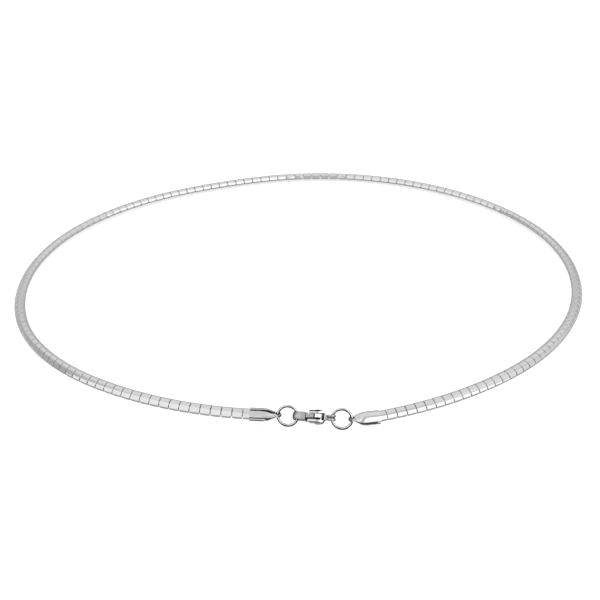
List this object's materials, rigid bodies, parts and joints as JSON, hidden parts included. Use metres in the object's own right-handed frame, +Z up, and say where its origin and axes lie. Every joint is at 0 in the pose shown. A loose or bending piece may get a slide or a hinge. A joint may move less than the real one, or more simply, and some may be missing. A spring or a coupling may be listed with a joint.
{
  "type": "rectangle link chain necklace",
  "caption": "Round collar chain of narrow domed rectangular steel plates crimped side by side over a woven metal core, closed by a lobster clasp.",
  "frame": {"origin": "centre of the loop at the height of the surface that the necklace lies on", "axes": "+Z up, away from the surface; the clasp is at -Y, and +X is right as seen from the clasp side"},
  "size_m": [0.1488, 0.147, 0.0053],
  "materials": {
    "plate_steel": "polished, silvery",
    "core_steel": "woven wire, dull",
    "cap_steel": "polished, with the soft edges of folded sheet",
    "ring_steel": "polished wire",
    "clasp_steel": "polished casting"
  },
  "bodies": {
    "necklace": {"core": "core_steel", "left_plates": "plate_steel", "right_plates": "plate_steel", "left_end_cap": "cap_steel", "right_end_cap": "cap_steel", "left_jump_ring": "ring_steel", "right_jump_ring": "ring_steel", "clasp_body": "clasp_steel", "lever_pin": "clasp_steel"},
    "lever": {"clasp_lever": "clasp_steel"}
  },
  "joints": [
    {"name": "lever_hinge", "type": "hinge", "parent": "necklace", "child": "lever", "pos_m": [0.0049, -0.0718, 0.00339], "axis": [-0.0659, -0.579, -0.8127], "range_deg": [0, 24], "stiffness_Nm_per_rad": 0.002}
  ]
}
